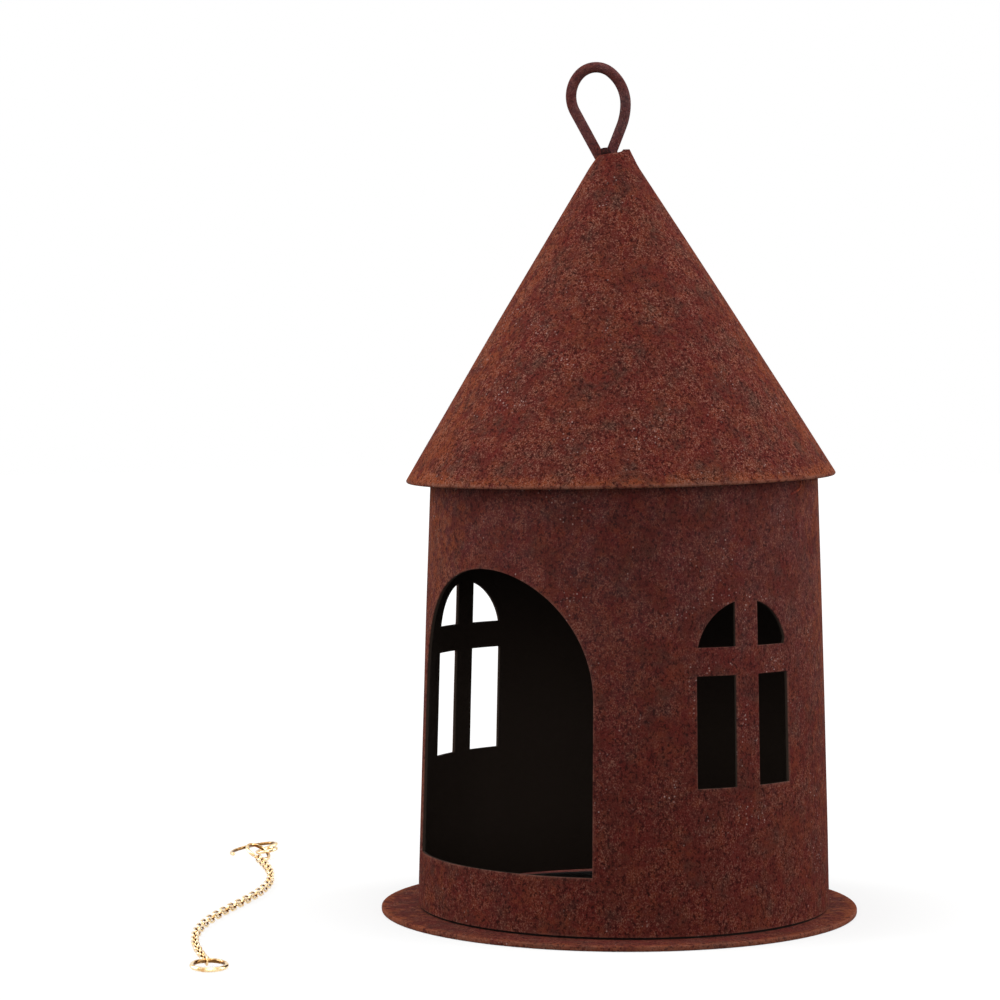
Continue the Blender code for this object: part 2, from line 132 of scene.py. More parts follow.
# The lamps: where each stands as (right, away, up) from the photograph's side, the height on the axis that it
# faces, its width and its height
LAMPS = {
    "left": ((-0.62, 0.02, 0.34), 0.09, 0.5, 0.7),
    "right": ((0.62, 0.06, 0.30), 0.09, 0.5, 0.7),
    "top": ((0.0, -0.02, 0.80), 0.1, 0.5, 0.4),
    "front": ((0.1, -0.75, 0.20), 0.1, 0.8, 0.6),
}


def length(name, default, description):
    """A size in metres, given in millimetres."""
    return FloatProperty(name=name, default=default * MM, description=description, unit="LENGTH", precision=5)


def angle(name, default, description):
    """An angle, given in degrees."""
    return FloatProperty(name=name, default=radians(default), description=description, subtype="ANGLE")


def number(name, default, description):
    """A plain number."""
    return FloatProperty(name=name, default=default, description=description)


def colour(name, default, description):
    """A colour in linear light."""
    return FloatVectorProperty(
        name=name, default=default, size=3, min=0.0, max=1.0, description=description, subtype="COLOR"
    )


class TowerSizes(bpy.types.PropertyGroup):
    base_radius: length("Base radius", 55.0, "Radius of the round base plate")
    base_sheet: length("Base sheet", 1.2, "Thickness of the base plate")
    base_edge: length("Base edge", 0.35, "Rounding of the base plate's rim")
    foot_radius: length("Foot radius", 47.55, "Outer radius of the tower wall at its foot")
    eave_radius: length("Eave radius", 44.6, "Outer radius of the tower wall at the eave")
    sheet: length("Wall sheet", 0.9, "Thickness of the rolled wall")
    seat: length("Seat", 0.3, "Gap between the wall and what it stands on or carries")
    shift: FloatVectorProperty(
        name="Wall shift", default=(0.75 * MM, 0.75 * MM, 0.0), size=3, unit="LENGTH",
        description="How far the wall stands off the middle of its base",
    )
    door_half: length("Door half width", 28.2, "Half the doorway's width along the sheet")
    door_sill: length("Door sill", 14.5, "Height of the doorway's sill")
    door_spring: length("Door spring", 52.6, "Height where the doorway's arch begins")
    window_turn: angle("Window turn", 79.3, "How far round from the doorway each window lies")
    window_half: length("Window half width", 12.8, "Half a window's width along the sheet")
    window_sill: length("Window sill", 33.6, "Height of the windows' sills")
    window_spring: length("Window spring", 61.7, "Height where the windows' arches begin")
    bar: length("Window bar", 6.25, "Width of the windows' bars")
    transom: length("Transom", 58.1, "Height of the underside of the windows' cross bars")
    belly: length("Belly", 0.2, "How far the rolled wall swells halfway up")
    lift: length("Foot lift", 0.65, "How far the wall's foot stands up from its weld at the back")
    gape: length("Foot gape", 0.15, "How far the wall's foot stands up all round")
    lift_turn: angle("Lift turn", 205.0, "How far round from the doorway the foot stands up")
    edge: length("Edge", 0.16, "Rounding of the cut edges")
    cell: length("Wall cell", 1.05, "Side of the wall's grid cells")


class RoofSizes(bpy.types.PropertyGroup):
    eave_height: length("Eave height", 100.7, "Height of the middle of the roof's lower edge")
    eave_radius: length("Roof radius", 49.45, "Radius of the roof's lower edge")
    tip_radius: length("Tip radius", 3.7, "Radius of the flat tip")
    rise: length("Rise", 73.9, "Height of the cone")
    sheet: length("Roof sheet", 0.9, "Thickness of the cone")
    lean: angle("Lean", 1.65, "How far the cone leans")
    lean_turn: angle("Lean turn", -6.0, "Which way it leans, from the doorway")
    shift: FloatVectorProperty(
        name="Roof shift", default=(0.15 * MM, 0.15 * MM, 0.0), size=3, unit="LENGTH",
        description="How far the roof sits off the middle of the base",
    )
    belly: length("Belly", 0.2, "How far the cone swells halfway up")
    waviness: length("Waviness", 0.1, "How far the rolled sheets swell and sink")


class LoopSizes(bpy.types.PropertyGroup):
    wire: length("Loop wire", 2.45, "Diameter of the loop's wire")
    turn: angle("Loop turn", 45.5, "The way that the loop's flat side faces")
    foot_side: length("Foot side", -3.1, "Where the loop's first foot stands, across the tip")
    foot_drop: length("Foot drop", -0.9, "How far that foot reaches below the tip")


class ChainSizes(bpy.types.PropertyGroup):
    pitch: length("Link pitch", 2.7, "From one link to the next")
    wire: length("Link wire", 0.5, "Diameter of the links' wire")
    gap: length("Link gap", 0.15, "Play between two links")
    bend: length("Link bend", 0.85, "Radius of a link's ends, to the middle of its wire")
    upper_ring: length("Upper ring", 3.03, "Radius of the jump ring at the hook")
    upper_wire: length("Upper ring wire", 0.9, "Diameter of that ring's wire")
    lower_ring: length("Lower ring", 3.6, "Radius of the jump ring at the chain's end")
    lower_wire: length("Lower ring wire", 1.0, "Diameter of that ring's wire")
    split: length("Ring split", 0.15, "Gap between a jump ring's two ends")
    hook_wire: length("Hook wire", 0.86, "Diameter of the hook's wire")


class Finishes(bpy.types.PropertyGroup):
    rust: colour("Rust", (0.084, 0.0160, 0.0118), "Maroon rust that covers most of the steel")
    rust_dark: colour("Dark rust", (0.022, 0.0062, 0.0055), "Rust in the pits between grains")
    # Orange rust, which also serves as painted rim light on the two sides at the edges of the camera's view
    rust_orange: colour("Orange rust", (0.190, 0.0440, 0.0165), "Fresh rust in patches and along the edges")
    rust_crimson: colour("Crimson rust", (0.093, 0.0140, 0.0112), "Redder rust, in patches")
    rust_grey: colour("Grey scale", (0.043, 0.0250, 0.0190), "Mill scale that shows in patches")
    rust_pale: colour("Pale grain", (0.262, 0.122, 0.088), "Grains that stand up and have dried pale")
    rust_cut: colour("Cut edge", (0.165, 0.080, 0.062), "Thin pale rust on the sheets' cut edges")
    # Grey dust on the wire; on the wall it is also painted light, lighter towards the eave
    rust_dust_and_top_light: colour("Dust", (0.172, 0.095, 0.106), "Grey dust on the wire and under the eave")
    # Painted glints: bright specks of light on bare grains, in clusters
    painted_glint: colour("Glint", (0.46, 0.30, 0.27), "Bare grains that catch the light, in clusters")
    # Painted shade: the darker colour inside the tower and the roof, and on the inner half of the cut edges
    inside_shade: colour("Soot", (0.034, 0.024, 0.019), "The inside of the tower and the roof")
    gold: colour("Gold", (0.93, 0.73, 0.43), "Bright gold plating on the chain, hook and rings")
    # Tan gold that serves as painted reflection, in patches over the bright gold
    gold_tan_reflection: colour("Deep gold", (0.66, 0.36, 0.13), "Gold where the plating is thinner")
    # Dark brown that serves as painted reflection and painted shade on the inner side of the wire's bends
    gold_dark_reflection: colour("Worn gold", (0.16, 0.075, 0.022), "Brown tarnish in the creases of the wire")


class StageSettings(bpy.types.PropertyGroup):
    lens: number("Lens", 109.07, "Focal length in millimetres")
    pitch: angle("Camera pitch", 2.09, "How far the camera looks down")
    azimuth: angle("Camera azimuth", 45.5, "The way that the camera looks, from +Y")
    distance: length("Camera distance", 700.0, "From the camera to the lantern's axis")
    side: length("Camera side", -27.56, "How far left of the lantern the camera stands")
    height: length("Camera height", 120.47, "Height of the camera")
    left: number("Left lamp", 3.8, "Power of the left lamp in watts")
    right: number("Right lamp", 3.5, "Power of the right lamp in watts")
    top: number("Top lamp", 2.5, "Power of the lamp overhead in watts")
    front: number("Front lamp", 3.1, "Power of the lamp in front in watts")
    ambient: number("Ambient", 0.35, "Level of the room's own light")


PREFIX = "castle_"
GROUPS = {
    "tower": TowerSizes,
    "roof": RoofSizes,
    "loop": LoopSizes,
    "chain": ChainSizes,
    "finish": Finishes,
    "stage": StageSettings,
}


def chosen(name):
    """The scene's values of one group of settings."""
    return getattr(bpy.context.scene, PREFIX + name)


class Field:
    """A node's output that takes part in arithmetic: numbers by Math nodes, vectors by Vector Math nodes."""

    def __init__(self, shading, socket):
        self.shading = shading
        self.socket = socket

    def join(self, operation, first, second):
        pair = [first, second]
        vector = any(isinstance(item, Field) and item.socket.type == "VECTOR" for item in pair)
        if vector:
            pair = [item if isinstance(item, Field) else (item, item, item) for item in pair]
        kind = "ShaderNodeVectorMath" if vector else "ShaderNodeMath"
        return self.shading.node(kind, {"operation": operation}, dict(enumerate(pair)))

    def __add__(self, other):
        return self.join("ADD", self, other)

    def __radd__(self, other):
        return self.join("ADD", other, self)

    def __sub__(self, other):
        return self.join("SUBTRACT", self, other)

    def __rsub__(self, other):
        return self.join("SUBTRACT", other, self)

    def __mul__(self, other):
        return self.join("MULTIPLY", self, other)

    def __rmul__(self, other):
        return self.join("MULTIPLY", other, self)


class Shading:
    """The node tree of a material or of the world."""

    def __init__(self, tree):
        self.tree = tree
        self.tree.nodes.clear()

    def node(self, kind, settings=None, inputs=None, output=0):
        """Adds a node of any type: its settings are set first, then its sockets' values and links."""
        node = self.tree.nodes.new(kind)
        for key, value in (settings or {}).items():
            setattr(node, key, value)
        for key, value in (inputs or {}).items():
            if isinstance(value, Field):
                self.tree.links.new(value.socket, node.inputs[key])
            else:
                node.inputs[key].default_value = value
        return Field(self, node.outputs[output]) if len(node.outputs) else node

    def object_mm(self):
        """The piece's own coordinates in millimetres."""
        return self.node("ShaderNodeTexCoord", output="Object") * (1 / MM)

    def noise(self, place, scale, detail=2.0, roughness=0.5):
        """Cloudy noise from 0 to 1, whose lumps are about one part in scale of a millimetre."""
        inputs = {"Vector": place, "Scale": scale, "Detail": detail, "Roughness": roughness}
        return self.node("ShaderNodeTexNoise", None, inputs)

    def ramp(self, value, low, high):
        """0 below low and 1 above high, eased between them; low may be the larger."""
        settings = {"interpolation_type": "SMOOTHSTEP"}
        return self.node("ShaderNodeMapRange", settings, {"Value": value, "From Min": low, "From Max": high})

    def mask(self, name):
        """A mask that the piece carries at its points."""
        return self.node("ShaderNodeAttribute", {"attribute_name": name}, output="Fac")

    def vectors(self, operation, first, second=None, output=0):
        """A Vector Math node."""
        inputs = {0: first} if second is None else {0: first, 1: second}
        return self.node("ShaderNodeVectorMath", {"operation": operation}, inputs, output)

    def steel(self, skin, rough, shine, strength, distance, height):
        """Ends the material with a surface whose bumps follow a height."""
        bump = {"Strength": strength, "Distance": distance, "Height": height}
        normal = self.node("ShaderNodeBump", None, bump)
        inputs = {"Base Color": skin, "Roughness": rough, "Normal": normal, **shine}
        surface = self.node("ShaderNodeBsdfPrincipled", None, inputs)
        self.node("ShaderNodeOutputMaterial", None, {"Surface": surface})

    def mix(self, factor, first, second):
        """From one colour to another."""
        pair = [item if isinstance(item, Field) else (*item, 1.0) for item in (first, second)]
        inputs = {0: factor, 6: pair[0], 7: pair[1]}
        return self.node("ShaderNodeMix", {"data_type": "RGBA"}, inputs, output=2)


def new_material(name):
    """An empty material and its node tree."""
    material = bpy.data.materials.new(name)
    material.use_nodes = True
    return material, Shading(material.node_tree)


def rust_material(
    name, level=1.0, warmth=0.4, rim_light_share=0.4, grey=1.0, dust_and_top_light=0.0, streak=1.0, edges=0.4, shine=0.03, inside_shade_level=1.0
):
    """Rusted steel: maroon and orange mottling, dark pits, grey scale, pale grains, and glints in clusters.

    Level brightens the rust, warmth is the share of orange, and flanks is what painted rim light adds to it
    on the two sides at the edges of the camera's view, most at the top. Grey is the share of mill scale and
    pale grains, dusty is the share of grey dust that thickens towards the top, which on the wall is also
    painted light, streak is how far the grains are drawn out along Z, edges is the share of pale rust on cut
    edges, shine is the level of its gloss, and sooty is how light the painted shade inside is, or 0 where
    none.
    """
    finish = chosen("finish")
    rust, crimson, dark, orange, scale, grains = (
        [channel * level for channel in getattr(finish, "rust" + shade)]
        for shade in ("", "_crimson", "_dark", "_orange", "_grey", "_pale")
    )
    material, shading = new_material(name)
    place = shading.object_mm()
    drawn = shading.vectors("MULTIPLY", place, (1, 1, 1 / streak))
    grain = shading.noise(drawn, 3.1, 2.0, 0.7)
    fleck = shading.noise(drawn + 31.0, 1.35, 2.0, 0.6)
    mottle = shading.noise(place + 57.0, 0.42, 3.0, 0.62)
    cloud = shading.noise(place + 83.0, 0.075, 3.0, 0.6)
    packed = {"Vector": place, "Scale": 1.6}
    cells = shading.node("ShaderNodeTexVoronoi", None, packed)
    lot = shading.node("ShaderNodeTexVoronoi", None, packed, output="Color")
    lot = shading.node("ShaderNodeSeparateColor", None, {"Color": lot})

    outward = shading.vectors("NORMALIZE", shading.vectors("MULTIPLY", place, (1, 1, 0)))
    facing = shading.vectors("DOT_PRODUCT", outward, (cos(RIM_LIGHT_TURN), sin(RIM_LIGHT_TURN), 0.0), "Value")
    # Painted rim light: the two sides at the edges of the camera's view, most near the top, get more orange
    # rust, lighter where grazing side light would fall
    rim_light_side = shading.ramp(facing * facing - facing * 0.06, 0.55, 0.95)
    height = shading.node("ShaderNodeSeparateXYZ", None, {"Vector": place}, output="Z")
    rise = shading.ramp(height, 10.0, 98.0)
    rim_light_side = rim_light_side * (rise * 0.7 + 0.3)
    fresh = shading.mask("fresh")
    share = rim_light_side * rim_light_share + fresh * 0.6 + warmth
    warm = shading.ramp(mottle * 0.65 + cloud * 0.35 + rim_light_side * 0.06 + fresh * 0.08, 0.44, 0.64)
    tint = shading.ramp(shading.noise(place + 101.0, 0.16, 4.0, 0.65), 0.42, 0.60)
    skin = shading.mix(warm * share, shading.mix(tint, rust, crimson), orange)
    patch = shading.ramp(shading.noise(place + 19.0, 0.17, 6.0, 0.75), 0.46, 0.70)
    skin = shading.mix(patch * (0.35 + 0.35 * grey), skin, scale)
    pits = shading.ramp(grain * 0.45 + fleck * 0.55, 0.50, 0.38)
    skin = shading.mix(pits * 0.9, skin, dark)
    strewn = shading.ramp(shading.noise(place + 71.0, 0.15, 4.0, 0.65), 0.38, 0.60)
    pale = shading.ramp(grain, 0.50, 0.63) * shading.ramp(fleck * 0.7 + mottle * 0.3, 0.40, 0.56)
    skin = shading.mix(pale * (strewn * 0.75 + 0.25) * (0.14 + 0.66 * grey), skin, grains)
    # Grey dust, thicker towards the top; on the wall it is also painted light that makes the wall lighter
    # towards the eave
    if dust_and_top_light:
        skin = shading.mix(rise * (strewn * 0.6 + 0.4) * dust_and_top_light, skin, finish.rust_dust_and_top_light)
    # Painted glints: bright specks in clusters, where the rust is also glossier and bumpier
    cluster = shading.ramp(shading.noise(place + 5.0, 0.11, 3.0, 0.62), 0.53, 0.68)
    glint = shading.ramp(cells, 0.42, 0.10) * shading.ramp(lot, 0.66, 1.0) * cluster
    skin = shading.mix(glint * 0.85, skin, finish.painted_glint)
    edge = shading.mask("edge")
    edge = edge * edge * edge * shading.ramp(fleck * 0.3 + mottle * 0.3 + cloud * 0.4, 0.38, 0.58)
    skin = shading.mix(edge * edges, skin, finish.rust_cut)
    # Painted shade: darker inside the tower and the roof, on the inner half of every cut edge, and on the
    # plate inside the wall
    if inside_shade_level:
        inside = shading.mask("inside")
        inside_shade = [channel * inside_shade_level for channel in finish.inside_shade]
        skin = shading.mix(shading.ramp(inside, 0.0, 0.4), skin, inside_shade)

    bumps = grain * 0.6 + fleck * 0.9 + mottle * 0.5 + glint * 0.3
    shading.steel(skin, 0.95 - glint * 0.35, {"Specular IOR Level": shine}, 0.9, 0.2 * MM, bumps)
    return material


def weld_material():
    """Dark melted steel with a little rust on its humps."""
    finish = chosen("finish")
    material, shading = new_material("weld_bead")
    place = shading.object_mm()
    lumps = shading.noise(place, 1.3, 3.0, 0.6)
    skin = shading.mix(shading.ramp(lumps, 0.52, 0.75), finish.rust_dark, finish.rust)
    shading.steel(skin, 0.7 + lumps * 0.2, {"Specular IOR Level": 0.1}, 0.6, 0.15 * MM, lumps)
    return material


def gold_material():
    """Polished gold plating with painted reflections, and painted shade where the wire bends and touches."""
    finish = chosen("finish")
    material, shading = new_material("gold_plated_wire")
    place = shading.object_mm()
    reflection_noise = shading.noise(place, 1.1, 3.0, 0.6)
    drawn = shading.noise(place, 6.0, 1.0, 0.5)
    crease = shading.mask("crease")
    # Painted reflections: tan patches over the bright gold, and dark brown, with painted shade, on the inner
    # side of the bends
    skin = shading.mix(shading.ramp(reflection_noise + crease * 0.25, 0.44, 0.66), finish.gold, finish.gold_tan_reflection)
    skin = shading.mix(shading.ramp(crease * 0.6 + reflection_noise * 0.7, 0.58, 0.92), skin, finish.gold_dark_reflection)
    shading.steel(skin, 0.10 + reflection_noise * 0.14, {"Metallic": 1.0}, 0.15, 0.02 * MM, drawn)
    return material


def grid_quads(rows, columns, wrap_rows=False, wrap_columns=False):
    """Corner numbers of the cells of a rows by columns grid whose points are numbered row by row."""
    i = np.arange(rows if wrap_rows else rows - 1)
    j = np.arange(columns if wrap_columns else columns - 1)
    i, j = np.meshgrid(i, j, indexing="ij")
    i2, j2 = (i + 1) % rows, (j + 1) % columns
    corners = [i * columns + j, i2 * columns + j, i2 * columns + j2, i * columns + j2]
    return np.stack(corners, axis=-1).reshape(-1, 4)


def facing_out(points, faces):
    """Turns the faces round if the space that they close comes out negative."""
    first, second, third = (points[faces[:, k]] for k in range(3))
    volume = np.einsum("ij,ij->i", first, np.cross(second, third)).sum()
    return faces if volume > 0 else faces[:, ::-1]


def put(name, data):
    """A new object in the scene, at the origin."""
    item = bpy.data.objects.new(name, data)
    bpy.context.scene.collection.objects.link(item)
    return item


def add_piece(
    name, points, faces, material, node=None, body="lantern", slot="rusted_steel", sharp=50.0, **masks
):
    """Puts a closed surface into the scene: merged at its poles, shaded smooth, and riding on its body.

    Each mask is a value from 0 to 1 at every point, which the material reads under the mask's name.
    """
    points = points.reshape(-1, 3)
    faces = facing_out(points - points.mean(axis=0), faces)
    mesh = bpy.data.meshes.new(name)
    mesh.from_pydata(points.tolist(), [], faces.tolist())
    for mask, values in masks.items():
        mesh.attributes.new(mask, "FLOAT", "POINT").data.foreach_set("value", np.ravel(values))
    bm = bmesh.new()
    bm.from_mesh(mesh)
    bmesh.ops.remove_doubles(bm, verts=bm.verts, dist=MERGE)
    bmesh.ops.dissolve_degenerate(bm, edges=bm.edges, dist=MERGE)
    bm.to_mesh(mesh)
    bm.free()
    mesh.shade_smooth()
    mesh.set_sharp_from_angle(angle=radians(sharp))
    mesh.materials.append(material)
    piece = put(name, mesh)
    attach(piece, body)
    if node:
        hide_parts(node)
    return piece


def swell(turn, height, seed, waves=9):
    """Slow swells of a rolled sheet, from -1 to 1: a sum of waves round it and up it with fixed phases."""
    random = np.random.default_rng(seed)
    total = np.zeros(np.broadcast(turn, height).shape)
    for count in range(1, waves + 1):
        phase, rise = random.uniform(0, TURN), random.uniform(-1, 1)
        total += np.cos(count * turn + rise * count * height / (20 * MM) + phase) / sqrt(count)
    return total / waves**0.5 / 1.2


def even_turns(count):
    """Angles spread evenly round a circle."""
    return np.linspace(0, TURN, count, endpoint=False)


def turned(profile, steps):
    """A profile of (radius, height) carried round the Z axis: rows go round it and columns along it."""
    turn = even_turns(steps)[:, None]
    radius, height = profile[:, 0][None], profile[:, 1][None]
    points = np.stack([radius * np.sin(turn), -radius * np.cos(turn), height + 0 * turn], axis=-1)
    return turn, points


def run(start, end, count):
    """Points along a straight line, without its last one."""
    share = np.arange(count)[:, None] / count
    return np.asarray(start) + share * (np.asarray(end) - np.asarray(start))


def corner(centre, radius, first, last, count):
    """Points of a round corner, from one angle to another, both in degrees."""
    turn = np.radians(np.linspace(first, last, count))[:, None]
    return np.asarray(centre) + radius * np.hstack([np.cos(turn), np.sin(turn)])


def make_base():
    """Flat round plate: its profile runs from the middle of its top over a rounded rim to its underside."""
    size = chosen("tower")
    rounding, top, rim = size.base_edge, size.base_sheet, size.base_radius - size.base_edge
    profile = np.vstack([
        run((0, top), (rim, top), BASE_TOP_ROWS),
        corner((rim, top - rounding), rounding, 90, 0, RIM_ROWS),
        corner((rim, rounding), rounding, 0, -90, RIM_ROWS),
        run((rim, 0), (0, 0), BASE_UNDER_ROWS)[1:],
        [(0, 0)],
    ])
    turn, points = turned(profile, BASE_ROUND)
    upper = profile[:, 1] > top / 2
    sag = BASE_SWELL * swell(turn, profile[:, 0][None], BASE_SEED) * (profile[:, 0] / size.base_radius) ** 2
    points[..., 2] += np.where(upper, sag, 0.0)
    radius = np.hypot(points[..., 0] - size.shift[0], points[..., 1] - size.shift[1])
    # The plate inside the wall's foot, where painted shade goes
    inside = np.clip((size.foot_radius - size.sheet / 2 - radius) / size.sheet, 0, 1) * upper
    faces = grid_quads(*points.shape[:2], wrap_rows=True)
    # The base's two ends, at the sides of the camera's view, get strong painted rim light
    rust = rust_material(
        "rusted_base", level=1.14, warmth=0.24, rim_light_share=2.3, grey=0.45, edges=0.3, shine=0.06, inside_shade_level=0.4
    )
    from_rim = size.base_radius - np.hypot(points[..., 0], points[..., 1])
    add_piece(
        "base_disc", points, faces, rust, "base_plate",
        inside=inside, edge=from_rim < rounding, fresh=np.clip(1 - from_rim / BASE_FRESH, 0, 1),
    )


def wall_radius(height):
    """The tower's outer radius, which shrinks evenly from its foot to the eave."""
    size, roof = chosen("tower"), chosen("roof")
    foot = size.base_sheet + size.seat
    share = (height - foot) / (roof.eave_height - foot)
    return size.foot_radius + share * (size.eave_radius - size.foot_radius)


def sheet_radius():
    """The radius at which distances along the wall's flat sheet are true."""
    size = chosen("tower")
    return wall_radius((size.window_sill + size.window_spring) / 2)


def openings():
    """The doorway and the window panes: (middle along the sheet, limits, corners).

    Each limit is a function of (along, height) that gives the distance past one side of the opening, and the
    direction that it is measured in. A point is in the opening where all its distances are negative.
    """
    size = chosen("tower")

    def level(edge, sign):
        return lambda x, z: (sign * (z - edge), np.zeros_like(x), np.full_like(x, sign))

    def upright(edge, sign):
        return lambda x, z: (sign * (x - edge), np.full_like(x, sign), np.zeros_like(x))

    def round_head(radius, spring):
        def distance(x, z):
            away = np.hypot(x, z - spring)
            return away - radius, x / np.maximum(away, MERGE), (z - spring) / np.maximum(away, MERGE)
        return distance

    def arched(radius, spring):
        def distance(x, z):
            head = round_head(radius, spring)(x, z)
            side = (np.abs(x) - radius, np.sign(x), np.zeros_like(x))
            return tuple(np.where(z > spring, a, b) for a, b in zip(head, side))
        return distance

    half, bar, head = size.window_half, size.bar / 2, size.transom + size.bar
    reach = sqrt(half**2 - (head - size.window_spring) ** 2)
    peak = size.window_spring + sqrt(half**2 - bar**2)
    door_limits = [arched(size.door_half, size.door_spring), level(size.door_sill, -1.0)]
    door_corners = [(side * size.door_half, size.door_sill) for side in (-1, 1)]
    found = [(0.0, door_limits, door_corners)]
    for window in (-1, 1):
        middle = window * size.window_turn * sheet_radius()
        for side in (-1, 1):
            inner, outer = upright(side * bar, -side), upright(side * half, side)
            limits = [inner, outer, level(size.window_sill, -1.0), level(size.transom, 1.0)]
            corners = [(side * x, z) for x in (bar, half) for z in (size.window_sill, size.transom)]
            found.append((middle, limits, corners))
            limits = [inner, round_head(half, size.window_spring), level(head, -1.0)]
            corners = [(side * bar, head), (side * bar, peak), (side * reach, head)]
            found.append((middle, limits, corners))
    return found


def snapped_sheet():
    """The wall's flat grid with its openings cut out: points, faces.

    The grid points nearest to an opening's outline are moved onto it, and the triangles whose corners all lie
    on or within it are left out.
    """
    size, roof = chosen("tower"), chosen("roof")
    round_length = TURN * sheet_radius()
    foot, top = size.base_sheet + size.seat, roof.eave_height + size.cell
    columns, rows = round(round_length / size.cell), round((top - foot) / size.cell)
    along = (np.arange(columns) / columns - 0.5) * round_length
    along, height = np.meshgrid(along, np.linspace(foot, top, rows), indexing="ij")
    state = np.ones_like(along)
    for middle, limits, corners in openings():
        x = (along - middle + round_length / 2) % round_length - round_length / 2
        fields = np.array([limit(x, height) for limit in limits])
        outer = fields[:, 0].argmax(axis=0)
        nearest, push_x, push_z = np.take_along_axis(fields, outer[None, None], axis=0)[0]
        move = (np.abs(nearest) < size.cell / 2) & ((fields[:, 0] > 0).sum(axis=0) <= 1)
        along[move] -= (nearest * push_x)[move]
        height[move] -= (nearest * push_z)[move]
        state[nearest < 0] = -1
        state[move] = 0
        for corner_x, corner_z in corners:
            gap = np.hypot(x - corner_x, height - corner_z)
            spot = np.unravel_index(gap.argmin(), gap.shape)
            along[spot], height[spot] = middle + corner_x, corner_z
            state[spot] = 0
    quads = grid_quads(columns, rows, wrap_rows=True)
    flat = state.ravel()[quads]
    other = (flat[:, 0] * flat[:, 2] < 0)[:, None]
    first = np.where(other, quads[:, [0, 1, 3]], quads[:, [0, 1, 2]])
    second = np.where(other, quads[:, [1, 2, 3]], quads[:, [0, 2, 3]])
    triangles = np.vstack([first, second])
    kept = state.ravel()[triangles].max(axis=1) > 0
    return along, height, triangles[kept]


def roof_middle():
    """The middle of the roof's lower edge."""
    roof = chosen("roof")
    return np.array(roof.shift) + roof.eave_height * UP


def roof_turn():
    """The roof's leaning turn."""
    roof = chosen("roof")
    turn = Matrix.Rotation(roof.lean_turn, 3, "Z") @ Matrix.Rotation(roof.lean, 3, "X")
    return np.array(turn)


def under_roof(place):
    """How far each point lies below the cone that is left for the wall's top, along Z."""
    tower, roof = chosen("tower"), chosen("roof")
    slope = (roof.eave_radius - roof.tip_radius) / roof.rise
    local = (place.reshape(-1, 3) - roof_middle()) @ roof_turn()
    radius = roof.eave_radius - (roof.sheet + tower.seat) * sqrt(1 + slope**2)
    below = (radius - np.hypot(local[:, 0], local[:, 1])) / slope - local[:, 2]
    return below.reshape(place.shape[:-1])


def make_wall():
    """Rolled sheet: the flat grid is bent round the tower's axis, once outside its thickness, once inside."""
    size, roof = chosen("tower"), chosen("roof")
    along, height, triangles = snapped_sheet()
    turn = along / sheet_radius()
    shift = np.array(size.shift)

    def bent(depth, rise):
        share = rise / roof.eave_height
        wave = roof.waviness * WALL_SWELL * swell(turn, rise, WALL_SEED)
        wave = wave + size.belly * 4 * share * (1 - share)
        radius = wall_radius(rise) - depth + wave
        return np.stack([radius * np.sin(turn), -radius * np.cos(turn), rise], axis=-1) + shift

    rise = height.copy()
    movable = height > STRETCH_FROM
    for _ in range(4):
        above = under_roof(bent(0.0, rise))[:, -1:]
        stretch = (rise - size.base_sheet) / (roof.eave_height - size.base_sheet)
        rise = rise + np.where(movable, above * np.clip(stretch * 3 - 2, 0, 1), 0)
    behind = np.exp(-(((turn - size.lift_turn + pi) % TURN - pi) / LIFT_SPREAD) ** 2)
    near_foot = np.clip(1 - (height - size.base_sheet - size.seat) / LIFT_REACH, 0, 1)
    rise = rise + (size.gape + (size.lift - size.gape) * behind) * near_foot
    count = turn.size
    points = np.concatenate([bent(depth, rise).reshape(-1, 3) for depth in (0.0, size.sheet)])
    edges = np.concatenate([triangles[:, [0, 1]], triangles[:, [1, 2]], triangles[:, [2, 0]]])
    key = np.sort(edges, axis=1)
    _, place, uses = np.unique(key[:, 0] * count + key[:, 1], return_index=True, return_counts=True)
    rim = edges[place[uses == 1]]
    rim_quads = np.column_stack([rim[:, 1], rim[:, 0], rim[:, 0] + count, rim[:, 1] + count])
    rim_faces = np.vstack([rim_quads[:, [0, 1, 2]], rim_quads[:, [0, 2, 3]]])
    faces = np.vstack([triangles, triangles[:, ::-1] + count, rim_faces])
    used, faces = np.unique(faces, return_inverse=True)
    faces = faces.reshape(-1, 3)
    inside = (np.arange(2 * count) >= count).astype(float)
    worn = np.zeros(2 * count)
    worn[np.concatenate([rim.ravel(), rim.ravel() + count])] = 1.0
    # On the wall the dust share is also painted light, making it lighter towards the eave
    rust = rust_material(
        "rusted_wall", level=0.98, warmth=0.30, rim_light_share=0.65, grey=0.6, dust_and_top_light=0.1, streak=1.2, edges=0.5
    )
    wall = add_piece(
        "tower_shell", points[used], faces, rust, "tower_wall", inside=inside[used], edge=worn[used]
    )
    rounding = wall.modifiers.new("cut_edges", "BEVEL")
    rounding.width = size.edge
    rounding.segments = 2
    rounding.limit_method = "ANGLE"
    rounding.angle_limit = radians(50.0)


